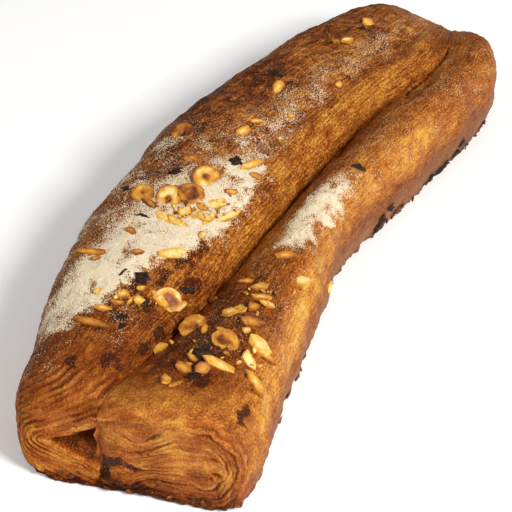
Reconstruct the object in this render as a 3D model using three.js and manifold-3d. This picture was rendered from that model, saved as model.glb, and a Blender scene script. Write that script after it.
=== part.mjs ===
// A danish pastry bar. Laminated dough is folded in from both long sides to a crease along the top,
// so that it bakes into two rolls side by side, one broad and one slim. The near end is cut across and
// shows the folded layers, and hazelnut slices, nut shards and dark baked bits stick to the crust.
//
// Millimetres, +Z up. The bar lies along X with its cut end at -X, and rests on the table at Z = 0.
// A place on the bar is given as t, from 0 at the cut end to 1 at the far end, with a distance across it,
// which grows to the left of someone who looks along +X.

import * as THREE from "three";
import { LoftGeometry } from "three/addons/geometries/LoftGeometry.js";
import { mergeVertices } from "three/addons/utils/BufferGeometryUtils.js";
import Module from "manifold-3d";

// Driving dimensions of the bar

const BAR_LENGTH = 318; // chord of the centreline
const BOW = 24; // how far the middle stands to the left of both ends
const MIDDLE = new THREE.Vector2(1.746, -6.222); // puts the origin under the middle of the bar's box
const CUT_TURN = THREE.MathUtils.degToRad(-4); // the cut face's turn away from square
const CUT_REACH = 0.3; // share of the length over which that turn fades out

// Profiles along the bar, at even stations from the cut end to the far end

const LEFT_EDGE = [50.5, 59, 59, 52, 43]; // centreline to the broad roll's side
const RIGHT_EDGE = [50.5, 53, 47, 53, 47]; // centreline to the slim roll's side
const CREASE_LINE = [15, 2.6, -8, -13.9, -17, -18.4, -18, -28, -13]; // the crease, to the left of the centreline
const CREASE_HEIGHT = [47, 37, 31, 30.6, 30, 29.6, 30, 41, 40];
const LEFT_HEIGHT = [47.5, 55, 55, 49, 41];
const RIGHT_HEIGHT = [53, 47, 45, 44, 50];
const RIGHT_STEEPNESS = [2.2, 1.2, 1, 1, 2]; // the slim roll's fall into the crease: 1 is a slope, 2 a wall

// Form of the section: each roll is made of quarter superellipses

const LEFT_CROWN = 0.5; // where a roll is highest, as a share of its width from the crease
const RIGHT_CROWN = 0.55;
const BELLY = 0.42; // where a roll is widest, as a share of its height
const FOOT = 14; // how far the flat base stays inside the widest point
const SIDE_POWER = 2.6; // roundness below the belly, on the outer shoulder and down into the crease
const SHOULDER_POWER = 2.3;
const LEFT_FLANK_POWER = 2.2;
const RIGHT_FLANK_POWER = 1.8;
const SWELL = 0.011; // unevenness of the rise, as a share of the section's size
const BASE_BLEND = 8; // height over which that unevenness grows from the flat base

// Ends

const CUT_ROUND = 12; // length over which the cut edge is rounded, and how far it draws in
const CUT_INSET = 7;
const TIP_ROUND = 24; // the same at the far end
const TIP_INSET = 24;
const TIP_CENTRE = 8; // height of the point that the end draws in towards

// Fineness

const ARC_STEPS = 8; // steps in each quarter of the outline
const BODY_STEPS = 40;
const CUT_STEPS = 4;
const TIP_STEPS = 8;
const MERGE_DISTANCE = 1e-3; // points closer than this are one point
const SLIVER = 0.02; // edges and steps smaller than this are smoothed away

// Layers on the cut face: flattened rings about the heart of each roll, in the face's own plane

const RIGHT_HEART = { across: -18, up: 24, halfWidth: 31, halfHeight: 26, from: -150, to: 190 };
const LEFT_HEART = { across: 24, up: 20, halfWidth: 26, halfHeight: 21, from: -80, to: 100 };
const RIGHT_LAYERS = [0.7, 0.57, 0.44, 0.31]; // sizes of the rings, as shares of the roll
const LEFT_LAYERS = [0.77];
const RING_POWER = 2.5;
const RING_STEPS = 20;
const LAYER_GAP = 0.9; // half the width of the gap between two layers, and its depth

// The slot under the broad roll's flap, where the fold stays open at the cut. Its corners are measured
// to the left of the crease, and up.

const SLOT_TIP = new THREE.Vector2(23, 24);
const SLOT_SAG = new THREE.Vector2(9, 31); // steers the curved lower side of the flap
const SLOT_LIP = new THREE.Vector2(-0.5, 39);
const SLOT_FLOOR = new THREE.Vector2(-1.5, 13);
const SLOT_DEPTH = 20;
const SLOT_CURVE_STEPS = 6;

// Toppings: places are millimetres from the cut end, and millimetres to the left of the crease

const SLICE_THICKNESS = 1.8;
const SLICE_SIDES = 8;
const SLICE_OVAL = 0.9; // width of a slice for each unit of its length
const SLICE_TILT = THREE.MathUtils.degToRad(11); // most that a slice leans from the crust
const SHARD_LENGTH = 11;
const SHARD_WIDTH = 5;
const SHARD_SIDES = 7;
const GOLDEN_ANGLE = THREE.MathUtils.degToRad(137.5);

const WHOLE_SLICES = [
  { along: 134, across: 28, diameter: 14 },
  { along: 116, across: 35, diameter: 13 },
  { along: 122, across: 26, diameter: 13 },
  { along: 114, across: 48, diameter: 12 },
  { along: 159, across: 55, diameter: 12 },
  { along: 67, across: 9, diameter: 14 },
  { along: 48, across: -28, diameter: 13 },
  { along: 59, across: -7, diameter: 12 },
  { along: 35, across: -50, diameter: 13 },
  { along: 53, across: -39, diameter: 10 },
  { along: 102, across: -34, diameter: 10 },
];

const SHARD_PATCHES = [
  { along: 115, across: 24, spread: 14, count: 8 },
  { along: 150, across: 20, spread: 12, count: 4 },
  { along: 85, across: 36, spread: 16, count: 5 },
  { along: 55, across: 24, spread: 12, count: 7 },
  { along: 181, across: 27, spread: 13, count: 3 },
  { along: 215, across: 30, spread: 14, count: 3 },
  { along: 264, across: 35, spread: 12, count: 5 },
  { along: 81, across: -23, spread: 12, count: 6 },
  { along: 45, across: -40, spread: 11, count: 5 },
  { along: 26, across: -24, spread: 8, count: 6 },
];

const DARK_BITS = [
  { along: 38, across: -24, size: 7 },
  { along: 24, across: -29, size: 5 },
  { along: 60, across: 14, size: 4 },
  { along: 70, across: 21, size: 5 },
  { along: 131, across: 41, size: 6 },
  { along: 152, across: 22, size: 5 },
  { along: 186, across: -20, size: 6 },
  { along: 217, across: 43, size: 7 },
  { along: 215, across: 33, size: 4 },
  { along: 254, across: 37, size: 4 },
  { along: 274, across: 33, size: 5 },
];

// The bar's form

// A profile's value at t, on a smooth curve through its stations.
function profile(values, t) {
  const last = values.length - 1;
  const x = THREE.MathUtils.clamp(t, 0, 1) * last;
  const i = Math.min(Math.floor(x), last - 1);
  const before = i > 0 ? values[i - 1] : 2 * values[0] - values[1];
  const after = i + 2 <= last ? values[i + 2] : 2 * values[last] - values[last - 1];
  const f = x - i;
  const slopeIn = (values[i + 1] - before) / 2;
  const slopeOut = (after - values[i]) / 2;
  const rise = values[i + 1] - values[i];
  const bend = 3 * rise - 2 * slopeIn - slopeOut;
  const twist = slopeIn + slopeOut - 2 * rise;
  return values[i] + f * (slopeIn + f * (bend + f * twist));
}

// The section's sizes at t. Positions across are measured from the centreline.
function sizesAt(t) {
  const crease = profile(CREASE_LINE, t);
  const left = profile(LEFT_EDGE, t);
  const right = -profile(RIGHT_EDGE, t);
  return {
    crease,
    left,
    right,
    creaseHeight: profile(CREASE_HEIGHT, t),
    leftHeight: profile(LEFT_HEIGHT, t),
    rightHeight: profile(RIGHT_HEIGHT, t),
    rightSteepness: profile(RIGHT_STEEPNESS, t),
    leftCrown: THREE.MathUtils.lerp(crease, left, LEFT_CROWN),
    rightCrown: THREE.MathUtils.lerp(crease, right, RIGHT_CROWN),
  };
}

// A quarter superellipse about a centre, from its side point up to its top point.
function quarter(centre, halfWidth, halfHeight, power, steepness = power) {
  const points = [];
  for (let i = 0; i <= ARC_STEPS; i++) {
    const angle = (i / ARC_STEPS) * (Math.PI / 2);
    const across = centre.x + halfWidth * Math.cos(angle) ** (2 / power);
    points.push(new THREE.Vector2(across, centre.y + halfHeight * Math.sin(angle) ** (2 / steepness)));
  }
  return points;
}

// One roll's half of the outline, from its foot over its shoulder and crown down to the crease.
function rollOutline(edge, crown, height, crease, flank) {
  const outward = Math.sign(edge - crown);
  const belly = height * BELLY;
  const foot = new THREE.Vector2(edge - outward * FOOT, belly);
  const side = quarter(foot, outward * FOOT, -belly, SIDE_POWER).reverse();
  const shoulder = quarter(new THREE.Vector2(crown, belly), edge - crown, height - belly, SHOULDER_POWER);
  const heart = new THREE.Vector2(crown, crease.y);
  const fall = quarter(heart, crease.x - crown, height - crease.y, flank.power, flank.steepness).reverse();
  return [...side, ...shoulder.slice(1), ...fall.slice(1)];
}

// How far the outline at t draws in because of the rounded ends.
function endInset(t) {
  const round = (distance, length, inset) => {
    const share = Math.max(0, 1 - distance / length);
    return inset * (1 - Math.sqrt(1 - share * share));
  };
  return round(t * BAR_LENGTH, CUT_ROUND, CUT_INSET) + round((1 - t) * BAR_LENGTH, TIP_ROUND, TIP_INSET);
}

// The dough's uneven rise: three slow waves along and around the bar.
function swell(t, angle) {
  const waves = Math.sin(23 * t + 2 * angle) + 0.8 * Math.sin(41 * t - 3 * angle + 1);
  return SWELL * (waves + 0.5 * Math.sin(67 * t + 5 * angle + 2));
}

// The closed outline at t, as points across and up.
function outlineAt(t) {
  const s = sizesAt(t);
  const crease = new THREE.Vector2(s.crease, s.creaseHeight);
  const rightFlank = { power: RIGHT_FLANK_POWER, steepness: s.rightSteepness };
  const left = rollOutline(s.left, s.leftCrown, s.leftHeight, crease, { power: LEFT_FLANK_POWER });
  const right = rollOutline(s.right, s.rightCrown, s.rightHeight, crease, rightFlank);
  const points = [...left, ...right.reverse().slice(1)];
  const middle = new THREE.Vector2((s.left + s.right) / 2, TIP_CENTRE);
  const inset = endInset(t);
  const halfWidth = (s.left - s.right) / 2;
  const halfHeight = Math.max(s.leftHeight, s.rightHeight) - TIP_CENTRE;
  return points.map((p) => {
    const spoke = p.clone().sub(middle);
    const rise = swell(t, Math.atan2(spoke.y, spoke.x)) * Math.min(1, p.y / BASE_BLEND);
    const across = middle.x + spoke.x * (1 + rise - inset / halfWidth);
    return new THREE.Vector2(across, middle.y + spoke.y * (1 + rise - inset / halfHeight));
  });
}

// The bar's heading at t: it follows the bow, and turns with the cut near the cut end.
function headingAt(t) {
  const bowed = Math.atan((-4 * BOW * (2 * t - 1)) / BAR_LENGTH);
  return bowed + CUT_TURN * Math.max(0, 1 - t / CUT_REACH) ** 2;
}

// A point of the section at t, in the part's frame.
function placeAt(t, point) {
  const u = 2 * t - 1;
  const heading = headingAt(t);
  const x = MIDDLE.x + (BAR_LENGTH / 2) * u - Math.sin(heading) * point.x;
  const y = MIDDLE.y + BOW * (0.5 - u * u) + Math.cos(heading) * point.x;
  return new THREE.Vector3(x, y, point.y);
}

// The stations of the loft: close together where the ends are rounded.
function stations() {
  const cut = CUT_ROUND / BAR_LENGTH;
  const tip = 1 - TIP_ROUND / BAR_LENGTH;
  const eased = (i, steps) => 1 - Math.cos(((i / steps) * Math.PI) / 2);
  const list = [];
  for (let i = 0; i < CUT_STEPS; i++) list.push(cut * eased(i, CUT_STEPS));
  for (let i = 0; i < BODY_STEPS; i++) list.push(THREE.MathUtils.lerp(cut, tip, i / BODY_STEPS));
  for (let i = TIP_STEPS; i >= 0; i--) list.push(1 - (1 - tip) * eased(i, TIP_STEPS));
  return list;
}

// Height of the crust at t, at a distance to the left of the crease.
function crustHeight(t, across) {
  const s = sizesAt(t);
  const onLeft = across > 0;
  const crown = onLeft ? s.leftCrown : s.rightCrown;
  const height = onLeft ? s.leftHeight : s.rightHeight;
  const onFlank = Math.abs(across) < Math.abs(crown - s.crease);
  const flankPower = onLeft ? LEFT_FLANK_POWER : RIGHT_FLANK_POWER;
  const power = onFlank ? flankPower : SHOULDER_POWER;
  const steepness = onFlank && !onLeft ? s.rightSteepness : power;
  const end = onLeft ? s.left : s.right;
  const reach = (onFlank ? s.crease : end) - crown;
  const low = onFlank ? s.creaseHeight : height * BELLY;
  const share = Math.min(1, Math.abs((s.crease + across - crown) / reach));
  const spoke = new THREE.Vector2(s.crease + across - (s.left + s.right) / 2, -TIP_CENTRE);
  spoke.y += low + (height - low) * (1 - share ** power) ** (1 / steepness);
  return TIP_CENTRE + spoke.y * (1 + swell(t, spoke.angle()));
}

// A point on the crust, given in millimetres from the cut end and to the left of the crease.
function crustPoint(along, across) {
  const t = along / BAR_LENGTH;
  return placeAt(t, new THREE.Vector2(profile(CREASE_LINE, t) + across, crustHeight(t, across)));
}

// Solids

const wasm = await Module();
wasm.setup();

// A closed geometry as a solid.
function solidOf(geometry) {
  const bare = new THREE.BufferGeometry();
  bare.setAttribute("position", geometry.attributes.position);
  bare.setIndex(geometry.index);
  const merged = mergeVertices(bare, MERGE_DISTANCE);
  const vertProperties = new Float32Array(merged.attributes.position.array);
  const triVerts = new Uint32Array(merged.index.array);
  return new wasm.Manifold(new wasm.Mesh({ numProp: 3, vertProperties, triVerts }));
}

// A solid as a geometry, without slivers, loose scraps or sealed hollows.
function geometryOf(solid) {
  const pieces = solid.asOriginal().simplify(SLIVER).decompose();
  const mesh = pieces.sort((a, b) => b.volume() - a.volume())[0].getMesh();
  const geometry = new THREE.BufferGeometry();
  geometry.setAttribute("position", new THREE.BufferAttribute(mesh.vertProperties, 3));
  geometry.setIndex(new THREE.BufferAttribute(mesh.triVerts, 1));
  geometry.computeVertexNormals();
  return geometry;
}

// The two rolls of baked dough, whole.
function doughSolid() {
  const sections = stations().map((t) => outlineAt(t).map((point) => placeAt(t, point)));
  return solidOf(new LoftGeometry(sections, { capStart: true, capEnd: true }));
}

// The gap round one layer: a thin diamond swept along a flattened ring on the cut face.
function layerGap(heart, size) {
  const path = [];
  for (let i = 0; i <= RING_STEPS; i++) {
    const angle = THREE.MathUtils.degToRad(THREE.MathUtils.lerp(heart.from, heart.to, i / RING_STEPS));
    const round = (value) => Math.sign(value) * Math.abs(value) ** (2 / RING_POWER);
    const across = heart.across + size * heart.halfWidth * round(Math.cos(angle));
    const up = heart.up + size * heart.halfHeight * round(Math.sin(angle));
    path.push(placeAt(0, new THREE.Vector2(across, up)));
  }
  const diamond = new THREE.Shape();
  diamond.moveTo(LAYER_GAP, 0).lineTo(0, LAYER_GAP).lineTo(-LAYER_GAP, 0).lineTo(0, -LAYER_GAP);
  const extrudePath = new THREE.CatmullRomCurve3(path);
  return solidOf(new THREE.ExtrudeGeometry(diamond, { steps: RING_STEPS, extrudePath }));
}

// The open slot under the flap. It runs into the cut end along the crease.
function slotSolid() {
  const outline = new THREE.Shape();
  outline.moveTo(SLOT_TIP.x, SLOT_TIP.y);
  outline.quadraticCurveTo(SLOT_SAG.x, SLOT_SAG.y, SLOT_LIP.x, SLOT_LIP.y);
  outline.lineTo(SLOT_FLOOR.x, SLOT_FLOOR.y);
  const settings = { depth: 2 * SLOT_DEPTH, bevelEnabled: false, curveSegments: SLOT_CURVE_STEPS };
  const geometry = new THREE.ExtrudeGeometry(outline, settings);
  const position = geometry.attributes.position;
  for (let i = 0; i < position.count; i++) {
    const t = (position.getZ(i) - SLOT_DEPTH) / BAR_LENGTH;
    const across = profile(CREASE_LINE, t) + position.getX(i);
    position.setXYZ(i, ...placeAt(t, new THREE.Vector2(across, position.getY(i))));
  }
  return solidOf(geometry);
}

// Lays a topping flat on the crust, turned about its own upright axis and leaning a little.
function layOnCrust(geometry, along, across, turn, lean) {
  const step = 2;
  const ahead = crustPoint(along + step, across).sub(crustPoint(along - step, across)).normalize();
  const aside = crustPoint(along, across + step).sub(crustPoint(along, across - step)).normalize();
  const up = new THREE.Vector3().crossVectors(ahead, aside).normalize();
  const seat = new THREE.Matrix4().makeBasis(ahead, new THREE.Vector3().crossVectors(up, ahead), up);
  const twist = new THREE.Matrix4().makeRotationZ(turn);
  const tip = new THREE.Matrix4().makeRotationX(lean);
  const place = seat.multiply(twist).multiply(tip).setPosition(crustPoint(along, across));
  return solidOf(geometry.applyMatrix4(place));
}

// A round, thin disc with its axis upright, drawn out to a length and a width.
function disc(length, width, sides) {
  const geometry = new THREE.CylinderGeometry(0.5, 0.5, SLICE_THICKNESS, sides);
  return geometry.rotateX(Math.PI / 2).scale(length, width, 1);
}

function sliceSolids() {
  return WHOLE_SLICES.map(({ along, across, diameter }, i) => {
    const slice = disc(diameter, SLICE_OVAL * diameter, SLICE_SIDES);
    return layOnCrust(slice, along, across, i * GOLDEN_ANGLE, SLICE_TILT * Math.sin(2.4 * i));
  });
}

// Shards fan out from the middle of each patch by the golden angle, so they never line up.
function shardSolids() {
  return SHARD_PATCHES.flatMap(({ along, across, spread, count }, patch) =>
    Array.from({ length: count }, (_, k) => {
      const reach = spread * Math.sqrt((k + 0.5) / count);
      const angle = (k + patch) * GOLDEN_ANGLE;
      const size = 0.75 + 0.5 * ((0.618 * (k + 3 * patch)) % 1);
      const shard = disc(SHARD_LENGTH * size, SHARD_WIDTH * size, SHARD_SIDES);
      const lean = SLICE_TILT * Math.sin(1.7 * k + patch);
      const there = { along: along + reach * Math.cos(angle), across: across + reach * Math.sin(angle) };
      return layOnCrust(shard, there.along, there.across, 2 * angle + patch, lean);
    }),
  );
}

function darkBitSolids() {
  return DARK_BITS.map(({ along, across, size }, i) => {
    const lump = new THREE.IcosahedronGeometry(size / 2).scale(1, 0.7, 0.5);
    return layOnCrust(lump, along, across, i * GOLDEN_ANGLE, 0);
  });
}

// The part

const gaps = [
  ...RIGHT_LAYERS.map((size) => layerGap(RIGHT_HEART, size)),
  ...LEFT_LAYERS.map((size) => layerGap(LEFT_HEART, size)),
];
const dough = gaps.reduce((solid, gap) => solid.subtract(gap), doughSolid().subtract(slotSolid()));
const toppings = [...sliceSolids(), ...shardSolids(), ...darkBitSolids()];
const bar = toppings.reduce((solid, topping) => solid.add(topping), dough);

const crust = new THREE.MeshStandardMaterial({ color: 0xa9662a, roughness: 0.6, metalness: 0 });
const pastry = new THREE.Mesh(geometryOf(bar), crust);
pastry.name = "pastry_bar";

const group = new THREE.Group();
group.name = "danish_pastry_bar";
group.add(pastry);

export default group;
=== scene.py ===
"""A danish pastry bar: its crust, cut layers, nuts, sugar and crumbs, dressed over the solid bar."""
import math
from functools import partial

import bmesh
import bpy
import numpy as np
from mathutils import Euler, Matrix, Vector, noise
from mathutils.bvhtree import BVHTree


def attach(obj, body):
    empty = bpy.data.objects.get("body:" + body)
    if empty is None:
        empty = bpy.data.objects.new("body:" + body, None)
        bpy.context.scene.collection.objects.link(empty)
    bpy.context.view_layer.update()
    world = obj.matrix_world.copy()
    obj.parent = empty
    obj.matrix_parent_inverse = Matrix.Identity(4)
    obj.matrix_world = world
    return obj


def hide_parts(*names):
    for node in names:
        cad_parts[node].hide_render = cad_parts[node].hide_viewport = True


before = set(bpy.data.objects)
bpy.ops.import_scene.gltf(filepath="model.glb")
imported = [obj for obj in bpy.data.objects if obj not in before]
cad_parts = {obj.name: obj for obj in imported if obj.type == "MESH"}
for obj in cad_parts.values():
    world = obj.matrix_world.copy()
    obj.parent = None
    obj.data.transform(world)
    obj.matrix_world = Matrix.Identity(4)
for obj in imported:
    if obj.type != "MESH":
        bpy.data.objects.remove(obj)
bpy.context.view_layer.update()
MM = 0.001

# The bar's form, in millimetres, repeated from the solid. It lies along X with its cut end at -X.
# A place on it is t, from 0 at the cut end to 1 at the far end, and a distance across, to the left.

BAR_LENGTH = 318
BOW = 24
MIDDLE = (1.746, -6.222)
CUT_TURN = math.radians(-4)
CUT_REACH = 0.3

# Profiles at even stations, from the cut end to the far end

LEFT_EDGE = (50.5, 59, 59, 52, 43)
RIGHT_EDGE = (50.5, 53, 47, 53, 47)
CREASE_LINE = (15, 2.6, -8, -13.9, -17, -18.4, -18, -28, -13)
CREASE_HEIGHT = (47, 37, 31, 30.6, 30, 29.6, 30, 41, 40)
LEFT_HEIGHT = (47.5, 55, 55, 49, 41)
RIGHT_HEIGHT = (53, 47, 45, 44, 50)
RIGHT_STEEPNESS = (2.2, 1.2, 1, 1, 2)

# The section: each roll's crown as a share of its width, the belly as a share of the height, the foot, and
# the powers of the quarter superellipses. Then the dough's swell and the rounded ends.

LEFT_CROWN = 0.5
RIGHT_CROWN = 0.55
BELLY = 0.42
FOOT = 14
SIDE_POWER = 2.6
SHOULDER_POWER = 2.3
LEFT_FLANK_POWER = 2.2
RIGHT_FLANK_POWER = 1.8
SWELL = 0.011
BASE_BLEND = 8
CUT_ROUND, CUT_INSET = 12, 7
TIP_ROUND, TIP_INSET = 24, 24
TIP_CENTRE = 8

# How finely the crust is meshed: rings on each end, rows along the bar and columns in each stretch around it

CUT_RINGS = 80
CUT_EDGE_ROWS = 12
BODY_ROWS = 210
TIP_ROWS = 26
TIP_RINGS = 14
ARC_STEPS = 48
COLUMNS = dict(base=12, side=22, left_shoulder=44, left_flank=58, right_flank=26, right_shoulder=40)
CREASE_COLUMN = sum(COLUMNS[stretch] for stretch in ("base", "side", "left_shoulder", "left_flank"))
CUT_HEART = (14, 10)  # the point of each end that its rings close on, across and up
TIP_HEART = (-8, 9)

# The cut face, across and up: the open slot under the broad roll's flap, the layers and the small holes

SLOT = ((38, 24), (31.3, 27.6), (25.1, 31.3), (19.5, 35.1), (14.5, 39), (13.5, 13))
SLOT_FLOOR = (13.5, 38), (13, 24)
SLOT_ROOF = (14.5, 19.5, 25.1, 31.3, 38), (39, 35.1, 31.3, 27.6, 24.1)
SLOT_DEPTH = 12
SLOT_STEP = 1.5  # how far back the slot's floor lies at once, and how much more it slopes back
SLOT_SLOPE = 2
SLOT_EDGE_ROLL = 2.2
LAYER_PITCH = 2.4
FLAP_GAPS = (0, 0.8, 1, 0.7, 1, 0.8, 1, 0.8, 1, 0.8, 0.7, 0.5)  # how open the gap below each layer is
ROLL_GAPS = (0, 0.4, 0.5, 0.6, 0.45, 0.95, 0.5, 1, 0.5, 0.7, 0.1)
GAP_DEPTH = 1.1
ROLL_LAYERS = 9
ROLL_FIRST = 20  # the slim roll's layers are numbered from here, past those of the flap
ROLL_HEART = (0, 20), (17, 26)  # heights of the slim roll's heart and rim, by distances to the right
ROLL_RIM = (-8, 2, 17, 25), (42, 46, 50, 50.5)
ROLL_BELOW = 24
ROLL_TURN = -30
ROLL_TURN_REACH = 17.5
FACE_HOLES = (
    (-34.5, 31, 1.6, 3), (-36, 22, 2.6, 4), (-33, 19.5, 1.5, 3), (-3, 26.5, 1.5, 3), (-7, 27, 1.4, 3),
)
FACE_BURNS = ((11.5, 13, 2.6, 7), (7, 20, 4, 2.2), (0, 17.5, 4, 1.4), (3, 3, 12, 3))

# A side of a soft-edged patch that is left open

FAR_OFF = 10000
OPEN = -FAR_OFF, 1 - FAR_OFF

# Sugar streaks: stops along the bar, then the left and the right edge there, measured around from the crease,
# and how soft the left edge is. Then how heaped they are, by stops along the bar.

LEFT_SUGAR = (16, 34, 42, 50, 60, 80, 100, 120, 140, 160, 180, 205), (
    68, 72, 80, 77, 66, 57, 53, 50, 42, 29, 26, 30), (57, 51, 45, 39, 35, 28, 18, 13, 14, 19, 20, 27)
LEFT_SUGAR_SOFTNESS = 13
LEFT_SUGAR_HEAP = (14, 30, 44, 56, 90, 130, 150, 170, 190, 210), (
    0, 0.3, 0.75, 1.05, 1.1, 0.95, 0.9, 0.75, 0.45, 0)
RIGHT_SUGAR = (110, 118, 128, 140, 155, 170, 180, 190), (-21, -18.5, -17, -17.5, -17, -21, -25, -28), (
    -27, -31, -36, -39, -40, -38, -36.5, -34)
RIGHT_SUGAR_SOFTNESS = 6
RIGHT_SUGAR_HEAP = (106, 122, 150, 172, 194), (0, 0.72, 0.92, 0.76, 0)

# Soft-edged patches: how strong, then where each starts, is full, fades and ends, along the bar and around
# from the crease. Mottled sugar dust, the line of dust beside the golden strip, and what browns each roll.

SUGAR_DUST = (
    (0.04, (15, 50), ()), (0.14, (25, 55), (16, 28)), (-0.133, (160, 185), (36, 50)),
    (0.09, (20, 45), (-2, -10, -40, -54)), (0.03, (140, 180), (-2, -10, -40, -54)),
    (0.11, (35, 60, 155, 185), (44, 56)), (0.1, (138, 150, 164, 180), (26, 34, 42, 50)),
    (0.16, (8, 22, 40, 60), (38, 50)),
)
DUST_LINE = ((0.15, (150, 175), (17, 24, 30, 40)), (-0.06, (215, 250), (17, 24, 30, 40)))
BROAD_BROWNING = (
    (0.07, (*OPEN, 115, 150), (*OPEN, 16, 24)), (0.08, (138, 150, 164, 180), (26, 34, 42, 50)),
    (0.06, (160, 185), (36, 50)), (-0.12, (215, 250), (36, 50)),
)
SLIM_BROWNING = ((0.07, (160, 185), (-50, -60)),)

# How dark each roll has baked, from 0 to 1: distances around from the crease, and the darkness there

BROAD_BAKE = (0, 5, 9, 16, 23, 31, 40, 50, 60), (0.62, 0.55, 0.53, 0.54, 0.63, 0.6, 0.63, 0.73, 0.77)
BROAD_BAKE_NEAR = (0, 9, 16, 40, 70), (0.64, 0.69, 0.7, 0.71, 0.74)
SLIM_BAKE = (0, 8, 17, 24, 31, 37, 43, 52, 60, 68), (
    0.54, 0.57, 0.57, 0.58, 0.54, 0.42, 0.4, 0.58, 0.74, 0.76)
SLIM_BAKE_NEAR = (0, 6, 12, 24, 31, 38, 44, 50, 60, 70), (
    0.52, 0.72, 0.78, 0.8, 0.78, 0.6, 0.34, 0.28, 0.66, 0.74)
SLIM_BAKE_FAR = (0, 10, 17, 24, 31, 40, 50, 60, 70), (0.54, 0.57, 0.62, 0.68, 0.68, 0.58, 0.54, 0.6, 0.62)
BROAD_BAKE_END = 0.58
BAKE_TIP = 0.64

# Along the crease: how much darker or lighter it is painted, as painted shade in the crease and painted light
# that lifts its shadow near the cut end, or how much higher it stands; how wide, and where it starts, is
# full, fades and ends

CREASE_PAINTED_SHADE_AND_LIGHT = ((0.1, 2, (45, 75)), (-0.04, 4, (*OPEN, 35, 70)))
CREASE_RELIEF = ((-1.4, 1.6, (235, 265, 285, 300)), (1.5, 1.8, (2, 10, 35, 75)), (3, 4, (285, 300, 309, 317)))

# The trough beside the golden strip, and the fold and the hollow where the crease forks at the far end

TROUGH = 150, 185, 285, 312
FORK = 256
FORK_HOLLOW = 260, -11

# Scorched spots: places along the bar and around from the crease, and their reach each way

BURNT_SPOTS = (
    (20, 40, 3, 3), (27, 19, 3, 3), (26, 12, 3, 3), (41, 9, 4, 3), (48, 28, 3, 3), (52, 7, 3, 2.5),
    (58, 23, 3, 2.5), (68, 30, 4, 3), (74, 23, 5, 2.5), (80, 14, 5, 3), (88, 21, 6, 2.5),
    (96, 19, 4, 2.5), (14, -42, 6, 1.5), (24, -25, 5, 3), (36, -22, 5, 4), (32, -42, 5, 3),
    (48, -22, 4, 3),
)

# Whole slices of nut: the photograph's pixel, diameter in millimetres, turn in degrees, how dark the rim and
# the flesh are, and the hollow's share of the width

NUT_SLICES = (
    (206, 178, 13.5, 10, 0.6, 0.3, 0.24), (169, 198, 12.5, 80, 0.55, 0.25, 0.22),
    (191, 195, 13, -10, 0.6, 0.6, 0.34), (143, 194, 11, 160, 0.65, 0.45, 0.12),
    (225, 341, 12.5, -30, 0.5, 0.46, 0.4), (193, 327, 13, 35, 0.5, 0.54, 0.36),
    (183, 133, 11, 20, 0.72, 0.84, 0.1), (167, 300, 12.5, 0, 0.2, 0.52, 0.42),
)
SLICE_THICKNESS = 1.6
SLICE_SIDES = 20
SLICE_LIFT = 0.4

# Shards of nut: the photograph's pixel, length and width in millimetres, turn in degrees, how dark

NUT_SHARDS = (
    (184, 212, 6, 5, 20, 0.0), (214, 205, 9, 4, 5, 0.1), (168, 219, 17, 4.5, -25, 0.05),
    (203, 217, 8, 4, -20, 0.15), (219, 203, 7, 3.5, 15, 0.1), (196, 215, 7, 4.5, -10, 0),
    (208, 219, 8, 3, 40, 0.1), (231, 192, 6, 3, 0, 0.45), (131, 231, 6, 3, -30, 0.55),
    (90, 252, 13, 3.4, -4, 0.45), (96, 259, 5, 2.5, 10, 0.5), (138, 252, 5, 3, 0, 0.5),
    (170, 254, 13, 5, 8, 0.08), (97, 292, 4, 3, 30, 0.1), (123, 295, 5, 5, 0, 0.3),
    (138, 300, 5, 4, 0, 0.25), (118, 303, 6, 2.5, -5, 0.5), (103, 309, 9, 3, -10, 0.3),
    (92, 323, 15, 4.2, -10, 0.5), (232, 313, 8, 5.5, 10, 0.25), (159, 299, 9, 4, -50, 0.15),
    (180, 306, 8, 4, 30, 0.2), (171, 292, 6, 3, -30, 0.15), (141, 289, 4, 3, 0, 0.3),
    (219, 364, 12.5, 4.6, -30, 0.2), (160, 350, 6.5, 6, 45, 0.25), (166, 380, 10, 4.5, 80, 0.3),
    (176, 385, 8, 2.6, 15, 0.3), (184, 368, 7, 5, -20, 0.5), (202, 369, 7, 6, 10, 0.5),
    (249, 360, 10, 4.5, -60, 0.1), (259, 345, 11, 6.5, -55, 0.08), (268, 358, 8, 4, -40, 0.45),
    (246, 331, 4, 3, 0, 0.15), (285, 256, 9.5, 4.5, 10, 0.45), (261, 288, 8, 5, 0, 0.3),
    (247, 282, 7.5, 2.6, 0, 0.5), (262, 298, 9.5, 3.2, 0, 0.3), (268, 305, 10, 2.8, -20, 0.2),
    (238, 311, 8.5, 5.5, 0, 0.25), (253, 308, 7, 5, 20, 0.5), (251, 322, 9.5, 4.5, -5, 0.5),
    (302, 283, 8, 7, 20, 0.05), (328, 287, 6.5, 3, 80, 0.1), (368, 23, 6, 5, -50, 0.2),
    (346, 41, 5.5, 2.8, 10, 0.05), (336, 42, 4, 3, 0, 0.5), (278, 87, 8.5, 5, 75, 0.25),
    (337, 84, 4, 3.5, 20, 0.3), (256, 122, 7, 2.6, 0, 0.25), (290, 117, 3.5, 2.6, 0, 0.25),
    (243, 132, 7, 5.5, 20, 0.3), (281, 140, 2.5, 2, 0, 0.1), (193, 158, 9, 4, 0, 0.5),
    (252, 165, 11, 4, 20, 0.2), (256, 176, 6, 3, -20, 0.45), (214, 300, 6, 3, 10, 0.5),
    (205, 330, 5, 3, 60, 0.4), (222, 330, 5, 2.5, -20, 0.4), (192, 358, 5, 3, -40, 0.45),
    (228, 217, 10, 3.4, 25, 0.05), (202, 235, 6, 3, 20, 0.05), (177, 223, 10, 3.4, -30, 0.1),
    (150, 204, 9, 3, -35, 0.6), (255, 385, 13, 5.5, -57, 0.32),
)

# Heaps of small chips of nut: the photograph's pixel, the heap's reach each way in pixels and how many chips

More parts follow.
